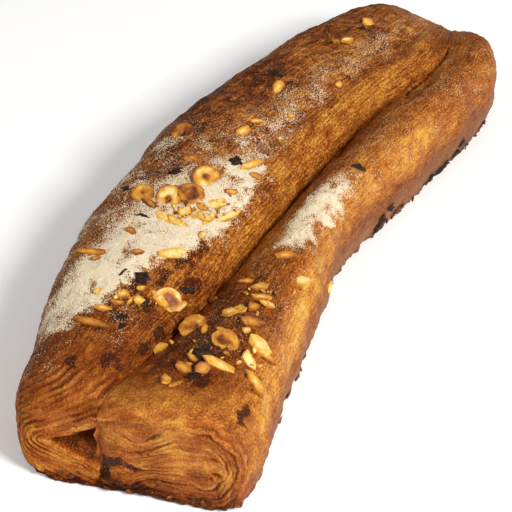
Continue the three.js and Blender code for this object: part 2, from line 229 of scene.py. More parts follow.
CHIP_HEAPS = (
    (200, 211, 30, 12, 40), (262, 296, 26, 22, 10), (205, 356, 30, 18, 7), (132, 300, 20, 12, 8),
    (250, 345, 16, 24, 6),
)
CHIP_SIZE = 1.2, 3.4
CHIP_WIDTH = 0.4, 0.8  # as a share of its size
CHIP_TOAST = 0.05, 0.6
SHARD_SIDES = 7
SHARD_THICKNESS = 0.8, 1.2
EYE_LEAN = 0.3  # how far toppings lean towards the photograph's eye

# Scorched bits: the photograph's pixel, length and width in millimetres, turn in degrees

SCORCHED_BITS = (
    (380, 222, 8, 5, 50), (377, 228, 6, 4, 60), (391, 208, 5, 4, 30), (428, 180, 8, 4, 40),
    (437, 172, 7, 4, 35), (444, 165, 6, 4, 40), (454, 155, 7, 4, 45), (461, 143, 5, 3, 50),
    (197, 355, 10, 5.5, 25), (206, 350, 7, 4, 40), (193, 376, 6, 4, 10), (236, 162, 6, 5.5, 0),
    (176, 172, 8, 4, 20), (146, 303, 4, 3.5, 0), (143, 278, 6.2, 5.6, 0), (122, 273, 6.5, 1.3, 48),
    (120, 317, 5, 2.2, 0), (121, 326, 3.4, 3, 0), (248, 377, 5, 3, -60), (362, 29, 4.2, 3.6, 0),
    (330, 43, 3, 2, 20), (275, 74, 7.5, 3.6, -25), (290, 83, 3.6, 2, 10), (358, 167, 6, 4, -15),
    (183, 290, 5, 3, -20), (143, 216, 7, 1.4, -12), (205, 218, 4, 1.2, 45), (126, 189, 4, 3, -40),
    (225, 331, 5, 2.4, 30), (191, 291, 4, 3, 0),
)
LEAST_BIT_HEIGHT = 1.4

# Sugar grains, and the loose leaves round the foot by their places along the bar

GRAIN_COUNT = 12000
GRAIN_SIZE = 0.16, 0.34
GRAIN_LIFT = 0.2
LEAST_HEAP = 0.3  # the sugar from which single grains lie on it
LEAF_COUNT = 220
LEAF_HEIGHTS = 1.5, 8
LEAF_LENGTH = 2, 6.5
LEAF_WIDTH = 1, 3.4
LEAF_THICKNESS = 1.3
LEAVES_ON_CUT = 0.06
LEAF_PLACES = (0, 60, 90, 105, 130, 145, 190, 205, 290, 318), (0.3, 0.3, 1, 0.3, 1, 0.3, 0.4, 1, 1, 0.2)

# The seeds of the random draws

SEEDS = dict(shards=11, slices=5, bits=7, leaves=19, grains=3)

# Colours: each ramp's stops, by how dark the crust and the nuts are, and by the grain of the other finishes

CRUST_TONES = ((0.0, "#e9ba4a"), (0.25, "#d29739"), (0.45, "#b36a28"), (0.62, "#954e16"), (0.8, "#6f310a"),
               (1.0, "#441b08"))
NUT_TONES = ((0.0, "#f3d88e"), (0.25, "#dfa53e"), (0.5, "#bd762b"), (0.75, "#84461d"), (1.0, "#321810"))
SCORCH_TONES = ((0.35, "#170c07"), (0.65, "#3d2416"))
SUGAR_TONES = ((0.3, "#dfceaa"), (0.7, "#f4ead2"))
FLAKE_TONES = ((0.3, "#2c160a"), (0.5, "#5c3012"), (0.7, "#a06228"))
CUT_TINT = "#fff2ff"  # multiplies the cut layers' colours
# Painted shadow for the gaps between the cut layers
GAP_PAINTED_SHADOW = "#4a1c07"
# Painted shade for the lower sides
SIDE_PAINTED_SHADE = "#8f6242"
SCORCH_BLACK = "#2a1614"
DUST_THIN = "#dcb07c"
DUST_THICK = "#ecdcbd"
WASH_GLINT = "#e8bd85"
PAPER_WHITE = "#f8f7f4"

# A noise pattern's usual value, and what the crust's patterns add to its tone on average

PATTERN_MIDDLE = 0.5
PATTERN_SUM = 1.82

# Lamps: metres to the camera's right, towards the camera and up, then size and power

LAMPS = (("key", 0.7, 0.75, 0.95, 0.35, 18), ("fill", -0.9, 0.7, 0.55, 1.2, 3))
SKY = 0.36
FLOOR_REACH = 3

# The camera of the photograph, which has the bar's own scale

PHOTO_SIDE = 512
VIEW_AZIMUTH = math.radians(-63)
VIEW_ELEVATION = math.radians(43)
VIEW_DISTANCE = 900
VIEW_FOCAL = 1998  # in pixels of the photograph
VIEW_TARGET = (-26 + MIDDLE[0], -1 + MIDDLE[1], 20)
SENSOR = 36
NEAREST_SEEN = 0.05


# The form in numbers

def profile(values, t):
    """A profile's value at t, on a smooth curve through its stations."""
    v = np.asarray(values, float)
    last = len(v) - 1
    ends = np.concatenate([[2 * v[0] - v[1]], v, [2 * v[-1] - v[-2]]])
    x = np.clip(t, 0, 1) * last
    i = np.minimum(x.astype(int), last - 1)
    f = x - i
    a, b, c, d = (ends[i + k] for k in range(4))
    return b + 0.5 * f * (c - a + f * (2 * a - 5 * b + 4 * c - d + f * (3 * (b - c) + d - a)))


def sizes_at(t):
    """The section's sizes at each t, with places across measured from the centreline."""
    sizes = {
        "left": profile(LEFT_EDGE, t),
        "right": -profile(RIGHT_EDGE, t),
        "crease": profile(CREASE_LINE, t),
        "crease_height": profile(CREASE_HEIGHT, t),
        "left_height": profile(LEFT_HEIGHT, t),
        "right_height": profile(RIGHT_HEIGHT, t),
        "steepness": profile(RIGHT_STEEPNESS, t),
    }
    sizes["left_crown"] = sizes["crease"] + (sizes["left"] - sizes["crease"]) * LEFT_CROWN
    sizes["right_crown"] = sizes["crease"] + (sizes["right"] - sizes["crease"]) * RIGHT_CROWN
    return sizes


def quarter(x, y, half_width, half_height, power, steepness=None):
    """A quarter superellipse about x, y in each row, from its side point up to its top point."""
    angle = np.linspace(0, math.pi / 2, ARC_STEPS)[None]
    rise = power if steepness is None else steepness[:, None]
    cosine = np.clip(np.cos(angle), 0, 1)
    across = x[:, None] + half_width[:, None] * cosine ** (2 / power)
    return np.stack([across, y[:, None] + half_height[:, None] * np.sin(angle) ** (2 / rise)], -1)


def even_steps(lines, count):
    """Each row's line of points, walked in even steps."""
    out = np.empty((len(lines), count + 1, 2))
    for row, line in zip(out, lines):
        reach = np.concatenate([[0], np.cumsum(np.hypot(*np.diff(line, axis=0).T))])
        stops = np.linspace(0, reach[-1], count + 1)
        row[:, 0] = np.interp(stops, reach, line[:, 0])
        row[:, 1] = np.interp(stops, reach, line[:, 1])
    return out


def roll_stretches(sizes, side):
    """One roll's stretches of the outline: its base, its side, its shoulder and its fall into the crease."""
    edge, crown, height = sizes[side], sizes[side + "_crown"], sizes[side + "_height"]
    outward = 1 if side == "left" else -1
    belly = height * BELLY
    foot = np.full_like(edge, outward * FOOT)
    middle = (sizes["left"] + sizes["right"]) / 2
    base = np.stack([np.stack([middle, 0 * middle], -1), np.stack([edge - foot, 0 * middle], -1)], 1)
    low_side = quarter(edge - foot, belly, foot, -belly, SIDE_POWER)[:, ::-1]
    shoulder = quarter(crown, belly, edge - crown, height - belly, SHOULDER_POWER)
    fall_size = crown, sizes["crease_height"], sizes["crease"] - crown, height - sizes["crease_height"]
    if side == "left":
        fall = quarter(*fall_size, LEFT_FLANK_POWER)
    else:
        fall = quarter(*fall_size, RIGHT_FLANK_POWER, sizes["steepness"])
    names = "base", "side", side + "_shoulder", side + "_flank"
    return [even_steps(p, COLUMNS[n]) for p, n in zip((base, low_side, shoulder, fall[:, ::-1]), names)]


def swell(t, angle):
    """The dough's uneven rise: three slow waves along and around the bar."""
    waves = np.sin(23 * t + 2 * angle) + 0.8 * np.sin(41 * t - 3 * angle + 1)
    return SWELL * (waves + 0.5 * np.sin(67 * t + 5 * angle + 2))


def end_inset(t):
    """How far the outline draws in because of the rounded ends."""
    def rounded(distance, length, inset):
        share = np.maximum(0, 1 - distance / length)
        return inset * (1 - np.sqrt(1 - share ** 2))
    cut = rounded(t * BAR_LENGTH, CUT_ROUND, CUT_INSET)
    return cut + rounded((1 - t) * BAR_LENGTH, TIP_ROUND, TIP_INSET)


def outlines(t):
    """The closed outline at each t, as rows of points across and up, from the middle of the base."""
    sizes = sizes_at(t)
    left = roll_stretches(sizes, "left")
    right = [stretch[:, ::-1] for stretch in reversed(roll_stretches(sizes, "right"))]
    points = np.concatenate([left[0]] + [stretch[:, 1:] for stretch in left[1:] + right], 1)
    middle = np.stack([(sizes["left"] + sizes["right"]) / 2, np.full_like(t, TIP_CENTRE)], -1)[:, None]
    half_width = (sizes["left"] - sizes["right"])[:, None] / 2
    half_height = np.maximum(sizes["left_height"], sizes["right_height"])[:, None] - TIP_CENTRE
    spoke = points - middle
    rise = swell(t[:, None], np.arctan2(spoke[..., 1], spoke[..., 0]))
    rise *= np.minimum(1, points[..., 1] / BASE_BLEND)
    inset = end_inset(t)[:, None]
    size = np.stack([1 + rise - inset / half_width, 1 + rise - inset / half_height], -1)
    return middle + spoke * size


def heading_at(t):
    """The direction that the bar runs in at each t: along its bow, and turned a little at the cut end."""
    bowed = np.arctan(-4 * BOW * (2 * t - 1) / BAR_LENGTH)
    return bowed + CUT_TURN * np.maximum(0, 1 - t / CUT_REACH) ** 2


def place_at(t, section):
    """Points of the sections at each t, in the part's frame, in millimetres."""
    u = (2 * t - 1)[:, None]
    heading = heading_at(t)[:, None]
    x = MIDDLE[0] + BAR_LENGTH / 2 * u - np.sin(heading) * section[..., 0]
    y = MIDDLE[1] + BOW * (0.5 - u ** 2) + np.cos(heading) * section[..., 0]
    return np.stack([x, y, section[..., 1]], -1)


# Small tools for shaping

def ease(low, high, x):
    """Goes smoothly from 0 at low to 1 at high. Low may be the larger."""
    f = np.clip((x - low) / (high - low), 0, 1)
    return f * f * (3 - 2 * f)


def between(x, start=-FAR_OFF, full=1 - FAR_OFF, fading=FAR_OFF - 1, gone=FAR_OFF):
    """1 from full to fading, easing to 0 at start and at gone. Start may be the larger."""
    return ease(start, full, x) * ease(gone, fading, x)


def ridge(x, width):
    """1 where x is 0, falling away smoothly over about one width."""
    return np.exp(-(x / width) ** 2)


def patches(along, reach, table):
    """The sum of a table's soft-edged patches."""
    return sum(strength * between(along, *run) * between(reach, *around) for strength, run, around in table)


def along_crease(grid, table):
    """The sum of a table's ridges along the crease."""
    along, reach = grid["along"], grid["reach"]
    return sum(strength * ridge(reach, width) * between(along, *run) for strength, width, run in table)


def drawn_out(grid, along, around, spacing, shift):
    """A waver drawn out so many times along the bar and around it."""
    flat = np.stack([grid["along"] / along, grid["around"] / around, 0 * grid["along"]], -1)
    return waver(flat, spacing, 2, shift)


def trough_line(along):
    """How far around from the crease the trough beside the golden strip lies."""
    return 23 + 2 * np.sin(along / 23)


def waver(points, wavelength, octaves=1, shift=0.0):
    """Smooth random values about 0, with bumps about one wavelength apart. Each shift gives other bumps."""
    scaled = np.asarray(points, float) / wavelength + shift
    values = [noise.fractal(p, 1.0, 2.0, octaves) for p in scaled.reshape(-1, 3)]
    return np.array(values).reshape(scaled.shape[:-1])


def outside(points, corners):
    """Distance of each point from a closed outline, negative inside it."""
    corners = np.asarray(corners, float)
    nearest = np.full(points.shape[:-1], 1e9)
    inside = np.zeros(points.shape[:-1], bool)
    for a, b in zip(corners, np.roll(corners, -1, 0)):
        edge, reach = b - a, points - a
        share = np.clip((reach @ edge) / (edge @ edge), 0, 1)
        nearest = np.minimum(nearest, np.linalg.norm(reach - share[..., None] * edge, axis=-1))
        crosses = (a[1] > points[..., 1]) != (b[1] > points[..., 1])
        height = np.where(edge[1] == 0, 1e-9, edge[1])
        inside ^= crosses & (points[..., 0] < a[0] + edge[0] * (points[..., 1] - a[1]) / height)
    return np.where(inside, -nearest, nearest)


# The crust as a grid: every vertex knows where it is on the bar

def grid_rows():
    """For each row of the grid: t, and the share of the outline's size, which shrinks on the two ends."""
    cut, tip = CUT_ROUND / BAR_LENGTH, 1 - TIP_ROUND / BAR_LENGTH
    edge = cut * (1 - np.cos(np.linspace(0, math.pi / 2, CUT_EDGE_ROWS + 1)))[:-1]
    body = np.linspace(cut, tip, BODY_ROWS)
    far = 1 - (1 - tip) * (1 - np.cos(np.linspace(math.pi / 2, 0, TIP_ROWS + 1)))[1:]
    t = np.concatenate([np.zeros(CUT_RINGS), edge, body, far, np.ones(TIP_RINGS)])
    shrink = np.ones_like(t)
    shrink[:CUT_RINGS] = np.linspace(0, 1, CUT_RINGS + 1)[:-1]
    shrink[-TIP_RINGS:] = np.linspace(1, 0, TIP_RINGS + 1)[1:]
    return t, shrink


def grid_places():
    """Where each vertex of the crust is, as fields over the grid."""
    t, shrink = grid_rows()
    section = outlines(t)
    heart = np.where((t < 0.5)[:, None], CUT_HEART, TIP_HEART)[:, None]
    section = heart + (section - heart) * shrink[:, None, None]
    points = place_at(t, section)
    steps = np.linalg.norm(np.diff(points[CUT_RINGS:-TIP_RINGS], axis=1), axis=-1).mean(0)
    around = np.concatenate([[0], np.cumsum(steps)])
    shape = section.shape[:2]
    return {
        "points": points,
        "face": section,
        "along": np.broadcast_to((t * BAR_LENGTH)[:, None], shape),
        "across": section[..., 0] - sizes_at(t)["crease"][:, None],
        "up": section[..., 1],
        "around": np.broadcast_to(around[None], shape),
        "reach": np.broadcast_to((around[CREASE_COLUMN] - around)[None], shape),
        "heading": np.broadcast_to(heading_at(t)[:, None], shape),
        "on_cut": np.broadcast_to(((t == 0) & (shrink < 1))[:, None], shape),
        "on_tip": np.broadcast_to(((t == 1) & (shrink < 1))[:, None], shape),
    }


def surface_normals(points):
    """Outward normals of the grid."""
    rows, columns = np.gradient(points, axis=0), np.gradient(points, axis=1)
    normals = np.cross(columns, rows)
    return normals / np.maximum(np.linalg.norm(normals, axis=-1, keepdims=True), 1e-9)


# Where the layers, the browning, the scorching and the sugar are

def slim_roll_depth(face):
    """How deep a point of the cut face lies in the slim roll, from 0 at its heart to 1 at its rim.

    The dough is folded like a hairpin that lies flat and turns at the right."""
    x, z = face[..., 0], face[..., 1]
    heart, rim = np.interp(-x, *ROLL_HEART), np.interp(-x, *ROLL_RIM)
    height = np.where(z > heart, (z - heart) / (rim - heart), (heart - z) / ROLL_BELOW)
    depth = np.hypot(height, np.maximum(0, ROLL_TURN - x) / ROLL_TURN_REACH)
    sag = 0.15 * ridge(x + 5, 8) * between(depth, 0, 0.5, 0.5, 1)
    return depth + sag + 0.08 * ease(-24, -6, x) * ease(1, 0.6, depth)


def flap_depth(grid):
    """How far a point lies from the slot's edge, through the broad roll's flap.

    The layers follow the slot across the cut, and bend to run along the crease."""
    face = grid["face"]
    from_slot = np.maximum(0.1, outside(face, SLOT)) + grid["along"]
    from_crease = 8 + 0.9 * np.maximum(0, grid["across"] + 2)
    bent = (from_slot ** -2.0 + from_crease ** -2.0) ** -0.5
    below = (face[..., 1] < np.interp(face[..., 0], *SLOT_FLOOR)) & (face[..., 0] < SLOT[0][0])
    return np.where(below, from_slot, bent)


def layer_fields(grid):
    """Each vertex's layer of dough by number, how open the gap beside it is, and how much skin covers it."""
    points, face = grid["points"], grid["face"]
    broad = grid["reach"] > 0
    wobble = waver(points, 15, 2, 3.0) + 0.35 * waver(points, 4, 2, 4.0)
    depth = slim_roll_depth(face)
    in_flap = flap_depth(grid) / LAYER_PITCH + 0.4 * wobble
    in_roll = ROLL_LAYERS * depth + ROLL_FIRST + 0.85 * wobble
    layer = np.where(broad, in_flap, in_roll)
    index = np.round(layer).astype(int) % ROLL_FIRST
    gap = np.where(broad, np.take(FLAP_GAPS, np.minimum(index, len(FLAP_GAPS) - 1)),
                   np.take(ROLL_GAPS, np.minimum(index, len(ROLL_GAPS) - 1)))
    gap *= np.clip(0.75 + 1.1 * waver(points, 12, 2, 6.0), 0.15, 1)
    under_slot = ease(20, 14, grid["up"]) * broad
    skin = np.where(broad, 0, np.maximum(ease(1.05, 1.12, depth), ease(2, 6, face[..., 0])))
    return layer, gap * (1 - 0.5 * under_slot) * (1 - 0.9 * skin), skin


def cut_share(grid):
    """How much of the cut end's bare layers shows: all on the face, fading over the crust behind it."""
    fade = np.where(grid["reach"] > 0, 40 + 9 * waver(grid["points"], 18, 1, 9.0), 11)
    share = ease(1, 0.2, grid["along"] / fade) * ease(0, 3, grid["up"])
    return np.where(grid["on_tip"], 0.2, share)


def streak(along, reach, softness, stops, highs, lows):
    """A streak along the bar, 1 inside and 0 outside, by its two edges at stops along it."""
    high, low = np.interp(along, stops, highs), np.interp(along, stops, lows)
    return ease(-softness, softness, high - reach) * ease(-5, 7, reach - low)


def sugar_field(grid):
    """How thickly sugar lies, from 0 to 1: two heaped streaks, and dust elsewhere on the top."""
    coarse, fine = waver(grid["points"], 13, 3, 5.0), waver(grid["points"], 4.5, 3, 7.0)
    along = grid["along"] + 8 * coarse
    reach = grid["reach"] + 3.5 * fine
    left = streak(along, reach, LEFT_SUGAR_SOFTNESS, *LEFT_SUGAR) * np.interp(along, *LEFT_SUGAR_HEAP)
    right = streak(along, reach, RIGHT_SUGAR_SOFTNESS, *RIGHT_SUGAR) * np.interp(along, *RIGHT_SUGAR_HEAP)
    heaped = np.maximum(left, right) * (0.76 + 0.4 * coarse + 0.4 * fine)
    dust = patches(along, reach, SUGAR_DUST) * np.maximum(0, 1 + 0.8 * coarse + 0.6 * fine)
    dust += patches(along, reach, DUST_LINE) * (1 + 0.4 * fine)
    bare = grid["on_cut"] | grid["on_tip"]
    return np.where(bare, 0, np.clip(np.maximum(heaped, dust), 0, 1) * ease(18, 30, grid["up"]))


def bake_and_shade_field(grid, skin):
    """How dark the crust is, from 0, pale gold, to 1, dark brown: mostly its baking, with painted shade in
    the crease, the trough and on the lower sides, and painted light that lifts the crease's shadow near the
    cut end.
    """
    along, reach, points = grid["along"], grid["reach"], grid["points"]
    broad = np.interp(reach, *BROAD_BAKE)
    broad += (np.interp(reach, *BROAD_BAKE_NEAR) - broad) * ease(110, 30, along)
    broad += patches(along, reach, BROAD_BROWNING)
    broad += (BROAD_BAKE_END - broad) * ease(26, 6, along)
    # Painted shade along the trough beside the golden strip.
    broad += 0.12 * between(along, *TROUGH) * ridge(reach - trough_line(along) - 1, 4)

    # The slim roll is darkest round the near nuts, and pale again at the cut end.
    right = -reach
    slim = np.interp(right, *SLIM_BAKE)
    to_near = (np.interp(right, *SLIM_BAKE_NEAR) - slim) * ease(115, 85, along)
    slim += to_near + (np.interp(right, *SLIM_BAKE_FAR) - slim) * ease(230, 262, along)
    slim += patches(along, reach, SLIM_BROWNING)
    slim += 0.2 * ridge(along - 42, 15) * between(right, 5, 10, 26, 34)
    slim += (0.5 - 0.04 * ease(8, 20, right) - slim) * ease(28, 10, along)

    # Slow and fine mottling, painted shade and light in the crease, painted shade on the lower sides, the
    # foot and the cut face
    crust = np.where(reach > 0, broad, slim)
    crust += (BAKE_TIP - crust) * ease(280, 300, along) + 0.16 * waver(points, 22, 3, 11.0)
    # Painted shade darkens the crease, and painted light lifts its shadow near the cut end.
    crust += along_crease(grid, CREASE_PAINTED_SHADE_AND_LIGHT)
    crust += 0.3 * waver(points, 4, 2, 59.0) * ease(18, 30, reach) * ease(100, 150, along)
    # Lower down, the crust is blended to a set darkness: partly the real browning of the bottom and of the
    # far end's foot, partly painted shade on the lower sides that turn from the light, strongest on the slim
    # roll's side.
    low = 0.5 + 0.25 * ease(12, 2, grid["up"]) + 0.1 * between(along, 215, 240, 285, 300)
    low += 0.17 * ease(0, -5, reach)
    crust += (low - crust) * ease(24, 12, grid["up"])
    face = 0.46 + 0.2 * waver(points, 10, 2, 13.0) + 0.1 * skin
    face -= 0.12 * ease(-33, -42, grid["face"][..., 0])
    face += 0.36 * np.where(reach > 0, ease(8, 2, grid["up"]), ease(15, 4, grid["up"]))
    return np.where(grid["on_cut"], face, crust)


def burnt_field(grid):
    """Scorched blotches, from 0 to 1, with a darker foot."""
    points, face = grid["points"], grid["face"]
    shift = 3 * waver(points, 6, 2, 17.0)
    turned = 3 * waver(points, 6, 2, 19.0)

    def blotches(x, y, spots):
        away = [np.hypot((x + shift - spot[0]) / spot[2], (y + turned - spot[1]) / spot[3]) for spot in spots]
        return ease(2.1, 0, np.min(away, 0))

    on_crust = blotches(grid["along"], grid["reach"], BURNT_SPOTS)
    on_face = blotches(face[..., 0], face[..., 1], FACE_BURNS)
    charred = between(grid["along"], 225, 240, 280, 295)
    above_foot = grid["up"] - 7 * charred + 4 * waver(points, 9, 2, 29.0)
    foot = np.where(grid["on_cut"], 0.4, 0.6) * ease(6, 1, above_foot)
    return np.maximum(np.where(grid["on_cut"], 0.85 * on_face, 0.6 * on_crust), foot)


# The crust's relief

def relief_field(grid, layer, gap, cut):
    """How far the crust stands out along its normal, in millimetres."""
    points, along, reach, up = grid["points"], grid["along"], grid["reach"], grid["up"]
    crust = 0.9 * waver(points, 14, 3, 31.0) + 0.45 * waver(points, 3.6, 3, 37.0)

    # Fibres run along the bar, strongest on the golden strip beside the crease. Wrinkles run around it.
    strip = between(reach, 2, 6, 18, 24) * ease(60, 110, along)
    crust += (0.2 + 0.35 * strip) * drawn_out(grid, 9, 1, 2.3, 41.0)
    crust += 0.6 * drawn_out(grid, 4, 1, 2.8, 45.0) * ease(75, 35, along)
    wrinkled = ease(-40, -52, reach) * ease(150, 60, along)
    wrinkled += ease(26, 14, np.abs(reach)) * ease(60, 25, along)
    crust += 0.6 * drawn_out(grid, 1, 7, 3.2, 43.0) * wrinkled

    # A trough beside the golden strip, the fold and hollow of the fork, and a crease that is open or filled
    line = reach - trough_line(along)
    crust += between(along, *TROUGH) * (0.6 * ridge(line + 7, 4) - 2 * ridge(line, 4))
    crust -= 3.2 * ridge(along - FORK - 0.15 * reach, 2) * between(reach, -38, -12, -3, 2)
    crust -= 2.5 * ridge(np.hypot(along - FORK_HOLLOW[0], reach - FORK_HOLLOW[1]), 6)
    crust += along_crease(grid, CREASE_RELIEF)

    # The cut end's layers, with gaps between them, and a ragged foot
    open_gap = ridge(layer - np.round(layer), 0.2)
    leaves = 0.15 * np.sin(2 * math.pi * 2 * layer)
    ragged = np.clip(waver(points, 3.4, 3, 47.0) + 0.1, 0, 1) * between(up, 0.2, 2, 4, 9)
    ragged *= np.where(grid["on_cut"], 0.7, 1.8)
    return crust * (1 - 0.45 * cut) + cut * (leaves - GAP_DEPTH * gap * open_gap) + ragged


def slot_shares(grid):
    """How far the slot and the small holes go into the cut face, how far the slot sinks towards its floor,
    where the slot is, and the painted shade that darkens the slot, most towards its roof under the flap."""
    face = grid["face"]
    uneven = np.stack([1.6 * waver(grid["points"], 7, 2, 61.0), 0.8 * waver(grid["points"], 6, 2, 67.0)], -1)
    inside = ease(0, 2, -outside(face + uneven, SLOT))
    floor_line, roof_line = np.interp(face[..., 0], *SLOT_FLOOR), np.interp(face[..., 0], *SLOT_ROOF)
    above = np.maximum(0, face[..., 1] - floor_line)
    share = np.clip(above / (roof_line - floor_line), 0, 1)
    deepest = (SLOT_DEPTH - SLOT_STEP - SLOT_SLOPE) * share ** 3 * ease(34, 17, face[..., 0])
    push = (SLOT_STEP + SLOT_SLOPE * share + deepest) * inside
    sink = 0.45 * above * share * inside
    rolled_in = ease(7, 14, face[..., 0]) ** 2 * ease(14.6, 14, face[..., 0]) * ease(9, 15, face[..., 1])
    push = np.maximum(push, SLOT_EDGE_ROLL * rolled_in * ease(46, 36, face[..., 1]))
    torn = 0.8 * waver(grid["points"], 3, 2, 53.0)
    for x, z, reach, depth in FACE_HOLES:
        away = np.hypot(face[..., 0] - x, 1.3 * (face[..., 1] - z)) + torn
        push = np.maximum(push, depth * ease(reach, 0.3 * reach, away))
    # Painted shade: the slot is coloured dark, darkest under the flap's roof, where shade falls.
    slot_painted_shade = 0.78 + 0.18 * share ** 2
    return [np.where(grid["on_cut"], field, 0) for field in (push, sink, inside, slot_painted_shade)]


def smooth_share(grid):
    """How far the crust lacks fibres: wholly on both ends, and a little on the slim roll's shoulder."""
    ends = np.maximum(ease(55, 12, grid["along"]), ease(295, 310, grid["along"]))
    return np.maximum(ends, 0.35 * ease(-22, -32, grid["reach"]))


class Crust:
    """The bar's crust: its grid of points in millimetres, and what its material reads at each of them."""

    def __init__(self):
        grid = self.places = grid_places()
        layer, gap, skin = layer_fields(grid)
        cut = cut_share(grid)
        relief = relief_field(grid, layer, gap, cut)
        push, sink, in_slot, slot_painted_shade = slot_shares(grid)
        self.points = grid["points"] + surface_normals(grid["points"]) * relief[..., None]
        self.points += np.stack([np.cos(grid["heading"]) * push, np.sin(grid["heading"]) * push, -sink], -1)
        self.points[..., 2] = np.maximum(self.points[..., 2], 0)
        self.normals = surface_normals(self.points)
        self.values = {
            "layer": layer,
            "gap": gap,
            "cut": cut * (1 - in_slot) * (1 - 0.8 * skin * grid["on_cut"]),
            "end": smooth_share(grid),
            # In the slot, painted shade takes the place of the baking.
            "bake_and_shade": bake_and_shade_field(grid, skin) * (1 - in_slot) + slot_painted_shade * in_slot,
            "burnt": burnt_field(grid) * (1 - in_slot),
            "sugar": sugar_field(grid),
            "washed": ease(60, 42, grid["reach"]),
            # Where the lower sides get painted shade: fully on the slim roll, a quarter on the broad roll,
            # none on the cut layers.
            "side": ease(30, 12, grid["up"]) * (1 - cut) * np.where(grid["reach"] > 0, 0.25, 1),
        }

    def mesh(self):
        """The crust's bmesh: one grid wrapped round the bar and closed at both ends. Keeps its face tree."""
        rows, columns = self.points.shape[:2]
        bm = bmesh.new()
        bmesh.ops.create_grid(bm, x_segments=columns - 1, y_segments=rows - 1, size=1)
        layers = {name: bm.verts.layers.float.new(name) for name in self.values}
        cells = {}
        for vert in bm.verts:
            row, column = round((vert.co.y + 1) / 2 * (rows - 1)), round((vert.co.x + 1) / 2 * (columns - 1))
            cells[vert] = row, column
            vert.co = Vector(self.points[row, column]) * MM
            for name, field in self.values.items():
                vert[layers[name]] = field[row, column]
        run = bm.loops.layers.uv.new("run")
        for face in bm.faces:
            for loop in face.loops:
                cell = cells[loop.vert]
                loop[run].uv = self.places["along"][cell] * MM, self.places["around"][cell] * MM
        bmesh.ops.remove_doubles(bm, verts=bm.verts, dist=0.002 * MM)
        bmesh.ops.dissolve_degenerate(bm, edges=bm.edges, dist=0.001 * MM)
        bmesh.ops.recalc_face_normals(bm, faces=bm.faces)
        self.tree = BVHTree.FromBMesh(bm)
        return bm

    def seen_at(self, x, y):
        """The place on the crust at a pixel of the photograph, and the crust's normal there."""
        eye, right, up, forward = view_axes()
        ray = forward * VIEW_FOCAL + right * (x - PHOTO_SIDE / 2) + up * (PHOTO_SIDE / 2 - y)
        place, normal, _, _ = self.tree.ray_cast(eye, ray.normalized())
        return place, normal


# Materials

def linear(hex_colour):
    """An sRGB hex colour as linear red, green, blue and alpha."""
    parts = [int(hex_colour[i:i + 2], 16) / 255 for i in (1, 3, 5)]
    return [p / 12.92 if p <= 0.04045 else ((p + 0.055) / 1.055) ** 2.4 for p in parts] + [1.0]


def per_mm(size):
    """The texture scale that gives a pattern of that size, in millimetres."""
    return 1 / (size * MM)


def add_node(tree, kind, inputs=None, stops=None, **settings):
    """Adds a shader node with its settings, colour stops, and input values or links. Gives its outputs."""
    node = tree.nodes.new("ShaderNode" + kind)
    for name, value in settings.items():
        setattr(node, name, value)
    if stops:
        ramp = node.color_ramp.elements
        while len(ramp) < len(stops):
            ramp.new(0.5)
        for element, (position, colour) in zip(ramp, stops):
            element.position = position
            element.color = linear(colour)
    for socket, value in (inputs or {}).items():
        if isinstance(value, bpy.types.NodeSocket):
            tree.links.new(value, node.inputs[socket])
        else:
            node.inputs[socket].default_value = value
    return node.outputs


def new_material(name):
    """An empty node material, and add_node for it."""
    material = bpy.data.materials.new(name)
    material.use_nodes = True
    material.node_tree.nodes.clear()
    return material, partial(add_node, material.node_tree)


